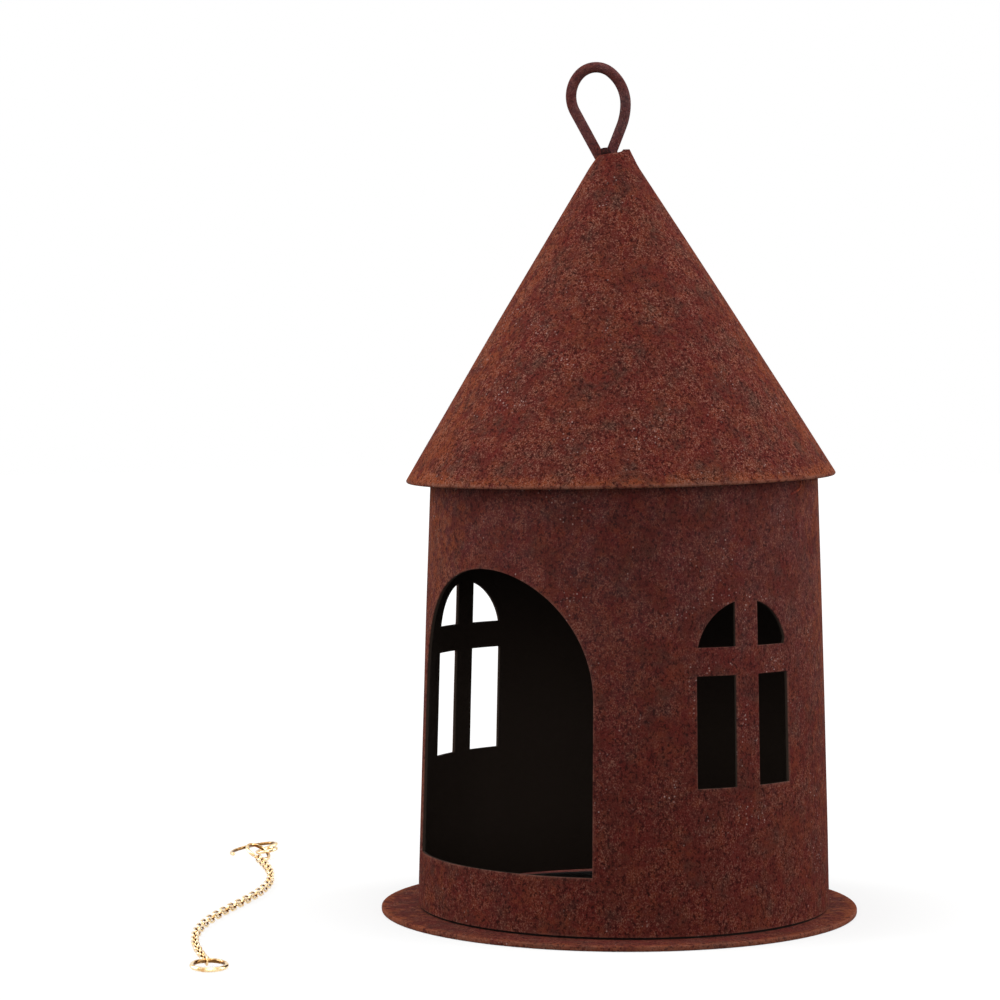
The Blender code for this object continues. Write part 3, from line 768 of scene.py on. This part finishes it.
def make_roof():
    """Cone of sheet: its profile runs from the tip down the outside, round the eave and up the inside."""
    size = chosen("roof")
    slope = (size.eave_radius - size.tip_radius) / size.rise
    lean = np.array([1.0, slope]) / sqrt(1 + slope**2)
    level = size.sheet * sqrt(1 + slope**2)
    half = size.sheet / 2
    tip = (size.tip_radius, size.rise)
    eave = np.array([size.eave_radius, 0.0])
    middle = eave - lean * half
    round_angle = np.degrees(np.arctan2(lean[1], lean[0]))
    inner_tip = (size.tip_radius + slope * size.sheet - level, size.rise - size.sheet)
    profile = np.vstack([
        run((0, size.rise), tip, TIP_ROWS),
        run(tip, eave, CONE_ROWS),
        corner(middle, half, round_angle, round_angle - 180, EAVE_ROWS),
        run(eave - 2 * half * lean, inner_tip, INNER_ROWS)[1:],
        run(inner_tip, (0, inner_tip[1]), CEILING_ROWS),
        [(0, inner_tip[1])],
    ])
    turn, points = turned(profile, ROOF_ROUND)
    share = profile[:, 1][None] / size.rise
    wave = size.waviness * swell(turn, profile[:, 1][None], ROOF_SEED) * np.clip(1.2 - share, 0, 1)
    share = np.clip(share, 0, 1)
    wave = wave + size.belly * 4 * share * (1 - share)
    outward = points[..., :2] / np.maximum(np.linalg.norm(points[..., :2], axis=-1, keepdims=True), MERGE)
    points[..., :2] += outward * wave[..., None]
    right = np.cos(turn - BURR_TURN)
    near_tip = np.clip(1 - (size.rise - profile[:, 1]) / BURR_REACH, 0, 1)
    near_tip = near_tip * (profile[:, 0] > size.tip_radius / 2)
    points[..., 2] += (BURR_SLOPE * right + BURR_PEAK * np.exp(-((1 - right) / BURR_WIDTH))) * near_tip
    points = points @ roof_turn().T + roof_middle()
    row = np.arange(len(profile)) - TIP_ROWS - CONE_ROWS
    masks = {
        "inside": row > EAVE_ROWS // 2,
        "edge": (row >= 0) & (row < EAVE_ROWS - 1),
        "fresh": np.clip(1 - profile[:, 1] / ROOF_FRESH, 0, 1),
    }
    masks = {name: np.broadcast_to(values, points.shape[:2]).astype(float) for name, values in masks.items()}
    faces = grid_quads(*points.shape[:2], wrap_rows=True)
    rust = rust_material("rusted_roof", level=1.08, warmth=0.34, edges=0.5)
    add_piece("roof_shell", points, faces, rust, "roof_cone", sharp=40.0, **masks)


def bent_line(first, bends, step):
    """A flat wire's middle line in the XY plane: straight runs are (0, length), bends are (radius, turn)."""
    line = np.zeros((1, 2))
    heading = first
    for radius, amount in bends:
        count = 1 if radius == 0 else int(np.ceil(abs(amount) / step))
        bend = 0.0 if radius == 0 else amount / count
        stride = amount if radius == 0 else 2 * radius * sin(abs(bend) / 2)
        headings = heading - bend * (np.arange(count) + 0.5)
        strides = stride * np.column_stack([np.cos(headings), np.sin(headings)])
        line = np.vstack([line, line[-1] + np.cumsum(strides, axis=0)])
        heading -= bend * count
    return np.column_stack([line, np.zeros(len(line))])


def rings(line, ahead, width, sides):
    """Circles of the given widths round the points of a flat line, square to the ways that lie ahead."""
    ahead = ahead / np.linalg.norm(ahead, axis=1, keepdims=True)
    across = np.column_stack([-ahead[:, 1], ahead[:, 0], np.zeros(len(line))])
    turn = even_turns(sides)[None, :, None]
    return line[:, None] + width[:, None, None] * (np.cos(turn) * across[:, None] + np.sin(turn) * UP)


def tube(line, diameter, sides, closed=False, blunt=0.3):
    """A circle carried along a flat line in the XY plane; open ends are square with a small round edge."""
    radius = diameter / 2
    if closed:
        ahead = np.roll(line, -1, axis=0) - np.roll(line, 1, axis=0)
        width = np.full(len(line), radius)
    else:
        starts, ends = line[0] - line[1], line[-1] - line[-2]
        starts, ends = starts / np.linalg.norm(starts), ends / np.linalg.norm(ends)
        near, far = 0.6 * blunt * radius, blunt * radius
        line = np.vstack([
            line[:1], line[:1], line[:1] - near * starts, line[:1] - far * starts, line[1:-1],
            line[-1:] - far * ends, line[-1:] - near * ends, line[-1:], line[-1:],
        ])
        ahead = np.gradient(line, axis=0)
        ahead[:3], ahead[-3:] = -starts, ends
        width = np.full(len(line), radius)
        taper = [0.0, 1 - blunt, 1 - 0.25 * blunt]
        width[:3], width[-3:] = np.array(taper) * radius, np.array(taper[::-1]) * radius
    return rings(line, ahead, width, sides), grid_quads(len(line), sides, wrap_rows=closed, wrap_columns=True)


def even_line(line, stride):
    """The same line with points a stride apart at most, so that straight runs carry rings too."""
    steps = np.linalg.norm(np.diff(line, axis=0), axis=1)
    marks = np.concatenate([[0.0], np.cumsum(steps)])
    wanted = np.linspace(0, marks[-1], int(marks[-1] / stride) + 2)
    return np.column_stack([np.interp(wanted, marks, line[:, k]) for k in range(3)])


def tip_place():
    """The middle of the roof's flat tip."""
    roof = chosen("roof")
    return roof_turn() @ (roof.rise * UP) + roof_middle()


def make_loop():
    """Bent wire with a slightly uneven surface, its two feet side by side on the tip under a weld bead."""
    size = chosen("loop")
    line = even_line(bent_line(LOOP_FIRST, LOOP_BENDS, FINE_STEP), LOOP_STRIDE)
    points, faces = tube(line, size.wire, LOOP_SIDES, blunt=0.25)
    spread = np.arange(len(points))[:, None] * LOOP_STRIDE
    uneven = LOOP_SWELL * swell(even_turns(LOOP_SIDES)[None], spread, LOOP_SEED, waves=6)
    points += (points - points.mean(axis=1, keepdims=True)) * (uneven / (size.wire / 2))[..., None]
    across = np.array([cos(size.turn), sin(size.turn), 0.0])
    flat = np.array([sin(size.turn), -cos(size.turn), 0.0])
    axes = np.stack([across, UP, flat])
    origin = tip_place() + size.foot_side * across + size.foot_drop * UP
    rust = rust_material("rusted_loop", level=0.92, warmth=0.1, rim_light_share=0.1, grey=0.8, dust_and_top_light=0.28, inside_shade_level=0.0)
    add_piece("hanging_wire", points @ axes + origin, faces, rust, "hanging_loop")
    add_bead(tip_place() + BEAD_ACROSS * across + BEAD_UP * UP, (across, flat, UP))


def make_drip():
    """Thin run of weld on the wall under the eave: a tube along a short bend, wrapped round the wall."""
    line = even_line(bent_line(DRIP_FIRST, DRIP_BENDS, 2 * FINE_STEP), DRIP_STRIDE)
    points, faces = tube(line, DRIP_WIRE, DRIP_SIDES, blunt=0.8)
    shift = np.array(chosen("tower").shift)
    height = DRIP_TOP + points[..., 1]
    radius = wall_radius(height) + chosen("tower").belly / 4 + points[..., 2]
    turn = DRIP_TURN + points[..., 0] / sheet_radius()
    points = np.stack([radius * np.sin(turn), -radius * np.cos(turn), height], axis=-1) + shift
    rust = rust_material("rusted_drip", level=2.0, warmth=0.5, grey=0.5, inside_shade_level=0.0)
    add_piece("eave_weld", points, faces, rust)


def add_bead(middle, axes):
    """A bead of weld: a ball stretched along three axes by its radii, with lumps all over."""
    down = np.linspace(0, pi, BEAD_ROWS)[:, None]
    turn = even_turns(BEAD_SIDES)[None]
    ball = [np.sin(down) * np.cos(turn), np.sin(down) * np.sin(turn), np.cos(down) + 0 * turn]
    lump = 1 + BEAD_SWELL * swell(turn, down * 8 * MM, BEAD_SEED, waves=6) * np.sin(down)
    points = np.stack(ball, axis=-1) * BEAD_RADII * lump[..., None]
    faces = grid_quads(BEAD_ROWS, BEAD_SIDES, wrap_columns=True)
    add_piece("loop_weld", points @ np.stack(axes) + middle, faces, weld_material())


def node_points(name):
    """A node's own points, each one once."""
    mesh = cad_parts[name].data
    points = np.zeros(len(mesh.vertices) * 3, np.float32)
    mesh.vertices.foreach_get("co", points)
    return np.unique(points.reshape(-1, 3).astype(float).round(8), axis=0)


def principal(points):
    """The middle of a cloud of points, and its long, middle and short directions."""
    middle = points.mean(axis=0)
    _, _, axes = np.linalg.svd(points - middle, full_matrices=False)
    axes[2] = np.cross(axes[0], axes[1])
    return middle, axes


def laid_on(name, pattern, points):
    """Moves points with a pattern of the node, drawn in its own plane, onto the node as it lies in the model.

    The two clouds' principal directions are matched, and of the four ways to do that the nearest is taken.
    """
    target = node_points(name)
    pattern_middle, pattern_axes = principal(pattern)
    target_middle, target_axes = principal(target)
    signs = [np.diag([first, second, first * second]) for first in (1, -1) for second in (1, -1)]
    turns = [pattern_axes.T @ sign @ target_axes for sign in signs]

    def gap(turn):
        moved = (pattern - pattern_middle) @ turn + target_middle
        return np.linalg.norm(moved[:, None] - target[None], axis=2).min(axis=1).mean()

    return (points - pattern_middle) @ min(turns, key=gap) + target_middle


def wire_piece(name, piece, coarse, fine, diameter, sides, gold, closed=False):
    """A round wire in the place of a node: the coarse line is the node's own, the fine one is what shows."""
    pattern = tube(coarse, diameter, sides, closed)[0] if closed else plain_tube(coarse, diameter, sides)
    points, faces = tube(fine, diameter, FINE_SIDES, closed, blunt=0.35)
    shape = points.shape
    spokes = points - points.mean(axis=1, keepdims=True)
    # How far each point faces the inner side of its bend, where painted shade and dark reflection go
    inward = -np.einsum("ijk,ik->ij", spokes, bulge(fine, shape[0], closed))
    crease = np.clip(inward / (diameter / 2), 0, 1)
    points = laid_on(name, pattern.reshape(-1, 3), points.reshape(-1, 3)).reshape(shape)
    add_piece(piece, points, faces, gold, name, name, "gold_plated_wire", crease=crease)


def bulge(line, rows, closed):
    """The way that a flat wire bulges at each of its rings: away from the middle of its bends."""
    ahead = np.roll(line, -1, axis=0) - np.roll(line, 1, axis=0)
    ahead /= np.linalg.norm(ahead, axis=1, keepdims=True)
    side = np.cross(ahead, UP)
    away = np.sign(np.einsum("ij,ij->i", side, line - line.mean(axis=0)))
    way = side * away[:, None]
    extra = (rows - len(line)) // 2
    return way if closed else np.vstack([way[:1]] * extra + [way] + [way[-1:]] * extra)


def plain_tube(line, diameter, sides):
    """The rings of a wire with square ends, one at each point of its line."""
    ahead = np.gradient(line, axis=0)
    ahead[0], ahead[-1] = line[1] - line[0], line[-1] - line[-2]
    return rings(line, ahead, np.full(len(line), diameter / 2), sides)


def link_line(steps):
    """Long round of a link in its own plane."""
    size = chosen("chain")
    straight = (size.pitch + size.wire + size.gap) / 2 - size.bend
    turn = pi * (np.arange(steps + 1) / steps - 0.5)
    end = np.column_stack([straight + size.bend * np.cos(turn), size.bend * np.sin(turn), 0 * turn])
    return np.vstack([end, -end])


def ring_line(radius, steps):
    """Round of a jump ring in its own plane, open by a hair."""
    gap = chosen("chain").split / radius
    turn = gap / 2 + (TURN - gap) * np.arange(steps + 1) / steps
    return np.column_stack([radius * np.cos(turn), radius * np.sin(turn), 0 * turn])


def make_chain():
    """The hook, the two jump rings and every link, each on its own body."""
    size = chosen("chain")
    gold = gold_material()
    links = sorted(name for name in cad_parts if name.startswith("link_"))
    coarse, fine = link_line(LINK_STEPS), link_line(FINE_LINK_STEPS)
    for name in links:
        piece = name.replace("link", "chain_link")
        wire_piece(name, piece, coarse, fine, size.wire, LINK_SIDES, gold, closed=True)
    for name, radius, wire in (
        ("upper_ring", size.upper_ring, size.upper_wire),
        ("lower_ring", size.lower_ring, size.lower_wire),
    ):
        coarse, fine = ring_line(radius, RING_STEPS), ring_line(radius, FINE_RING_STEPS)
        wire_piece(name, name.replace("ring", "jump_ring"), coarse, fine, wire, RING_SIDES, gold)
    coarse = bent_line(HOOK_FIRST, HOOK_BENDS, HOOK_STEP)
    fine = even_line(bent_line(HOOK_FIRST, HOOK_BENDS, FINE_STEP), HOOK_STRIDE)
    wire_piece("s_hook", "hook_wire", coarse, fine, size.hook_wire, RING_SIDES, gold)


def make_lamps():
    """Soft rectangular lamps at both sides, overhead and in front, each facing a point on the axis."""
    stage = chosen("stage")
    turn = Matrix.Rotation(stage.azimuth, 3, "Z")
    for name, (place, target, width, height) in LAMPS.items():
        light = bpy.data.lights.new(name + "_lamp", "AREA")
        light.shape = "RECTANGLE"
        light.size, light.size_y, light.energy = width, height, getattr(stage, name)
        lamp = put(name + "_lamp", light)
        lamp.location = turn @ Vector(place)
        facing = Vector((0.0, 0.0, target)) - lamp.location
        lamp.rotation_euler = facing.to_track_quat("-Z", "Y").to_euler()


def make_floor():
    """Pale floor that keeps the shadow near the object, and fades to the white room behind it.

    To the camera it is partly clear, so a length of chain that swings below it can still be seen.
    """
    mesh = bpy.data.meshes.new("floor")
    signs = [(-1, -1), (1, -1), (1, 1), (-1, 1)]
    corners = [(x * FLOOR_REACH, y * FLOOR_REACH, FLOOR_LEVEL) for x, y in signs]
    mesh.from_pydata(corners, [], [(0, 1, 2, 3)])
    floor = put("floor", mesh)
    material, shading = new_material("pale_floor")
    paint = shading.node("ShaderNodeBsdfDiffuse", None, {"Color": (0.85, 0.85, 0.85, 1.0)})
    glow = shading.node("ShaderNodeEmission", None, {"Color": (1.0, 1.0, 1.0, 1.0), "Strength": 0.1})
    white = shading.node("ShaderNodeAddShader", None, {0: shading.node("ShaderNodeBsdfTransparent"), 1: glow})
    matte = shading.node("ShaderNodeBsdfDiffuse", None, {"Color": (0.12, 0.12, 0.12, 1.0)})
    place = shading.node("ShaderNodeTexCoord", output="Object")
    away = shading.vectors("LENGTH", place, output="Value")
    far = FLOOR_CLEAR + shading.ramp(away, *FLOOR_FADE) * (1 - FLOOR_CLEAR)
    shown = shading.node("ShaderNodeMixShader", None, {0: far, 1: paint, 2: white})
    surface = shading.node("ShaderNodeMixShader", None, {0: seen_rays(shading), 1: matte, 2: shown})
    shading.node("ShaderNodeOutputMaterial", None, {"Surface": surface})
    mesh.materials.append(material)


def seen_rays(shading):
    """1 for rays from the camera and for those that metal or glass sends on, otherwise 0."""
    kinds = [
        shading.node("ShaderNodeLightPath", output=name)
        for name in ("Is Camera Ray", "Is Glossy Ray", "Is Transmission Ray")
    ]
    count = kinds[0] + kinds[1] + kinds[2]
    return shading.node("ShaderNodeMath", {"operation": "MINIMUM"}, {0: count, 1: 1.0})


def make_world():
    """A white room to the eye, with a lower level of its own light on the object."""
    stage = chosen("stage")
    world = bpy.data.worlds.new("studio")
    world.use_nodes = True
    bpy.context.scene.world = world
    shading = Shading(world.node_tree)
    seen = seen_rays(shading)
    strength = seen * (1 - stage.ambient) + stage.ambient
    room = shading.node("ShaderNodeBackground", None, {"Color": (1.0, 1.0, 1.0, 1.0), "Strength": strength})
    shading.node("ShaderNodeOutputWorld", None, {"Surface": room})


def make_camera():
    """The camera where the photograph's stood, with colours shown as they are."""
    stage = chosen("stage")
    turn = Matrix.Rotation(stage.azimuth, 3, "Z")
    camera = bpy.data.cameras.new("camera")
    camera.lens, camera.sensor_width = stage.lens, 36.0
    camera.clip_end = 20.0
    view = put("camera", camera)
    view.location = turn @ Vector((stage.side, -stage.distance, stage.height))
    view.rotation_euler = (pi / 2 - stage.pitch, 0.0, stage.azimuth)
    bpy.context.scene.camera = view
    bpy.context.scene.view_settings.view_transform = "Standard"


class CASTLE_OT_base(bpy.types.Operator):
    """Make the rusted base plate"""

    bl_idname = "castle.make_base"
    bl_label = "Base plate"

    def execute(self, context):
        make_base()
        return {"FINISHED"}


class CASTLE_OT_wall(bpy.types.Operator):
    """Make the tower wall with its doorway and windows"""

    bl_idname = "castle.make_wall"
    bl_label = "Tower wall"

    def execute(self, context):
        make_wall()
        return {"FINISHED"}


class CASTLE_OT_roof(bpy.types.Operator):
    """Make the conical roof"""

    bl_idname = "castle.make_roof"
    bl_label = "Roof"

    def execute(self, context):
        make_roof()
        return {"FINISHED"}


class CASTLE_OT_loop(bpy.types.Operator):
    """Make the wire loop and the welds"""

    bl_idname = "castle.make_loop"
    bl_label = "Hanging loop"

    def execute(self, context):
        make_loop()
        make_drip()
        return {"FINISHED"}


class CASTLE_OT_chain(bpy.types.Operator):
    """Make the hook, the jump rings and the chain's links"""

    bl_idname = "castle.make_chain"
    bl_label = "Hook and chain"

    def execute(self, context):
        make_chain()
        return {"FINISHED"}


class CASTLE_OT_stage(bpy.types.Operator):
    """Make the floor, the room, the lamps and the camera"""

    bl_idname = "castle.make_stage"
    bl_label = "Studio"

    def execute(self, context):
        make_floor()
        make_world()
        make_lamps()
        make_camera()
        return {"FINISHED"}


OPERATORS = (CASTLE_OT_base, CASTLE_OT_wall, CASTLE_OT_roof, CASTLE_OT_loop, CASTLE_OT_chain, CASTLE_OT_stage)


class CASTLE_PT_lantern(bpy.types.Panel):
    """The lantern's pieces and sizes"""

    bl_idname = "CASTLE_PT_lantern"
    bl_label = "Castle lantern"
    bl_space_type = "VIEW_3D"
    bl_region_type = "UI"
    bl_category = "Castle lantern"

    def draw(self, context):
        for operator in OPERATORS:
            self.layout.operator(operator.bl_idname)
        for name, group in GROUPS.items():
            box = self.layout.box()
            settings = chosen(name)
            for key in group.__annotations__:
                box.prop(settings, key)


CLASSES = (*GROUPS.values(), *OPERATORS, CASTLE_PT_lantern)


def register():
    for item in CLASSES:
        bpy.utils.register_class(item)
    for name, group in GROUPS.items():
        setattr(bpy.types.Scene, PREFIX + name, PointerProperty(type=group))


def unregister():
    for name in GROUPS:
        delattr(bpy.types.Scene, PREFIX + name)
    for item in reversed(CLASSES):
        bpy.utils.unregister_class(item)


def main():
    register()
    bpy.ops.castle.make_base()
    bpy.ops.castle.make_wall()
    bpy.ops.castle.make_roof()
    bpy.ops.castle.make_loop()
    bpy.ops.castle.make_chain()
    bpy.ops.castle.make_stage()


if __name__ == "__main__":
    main()
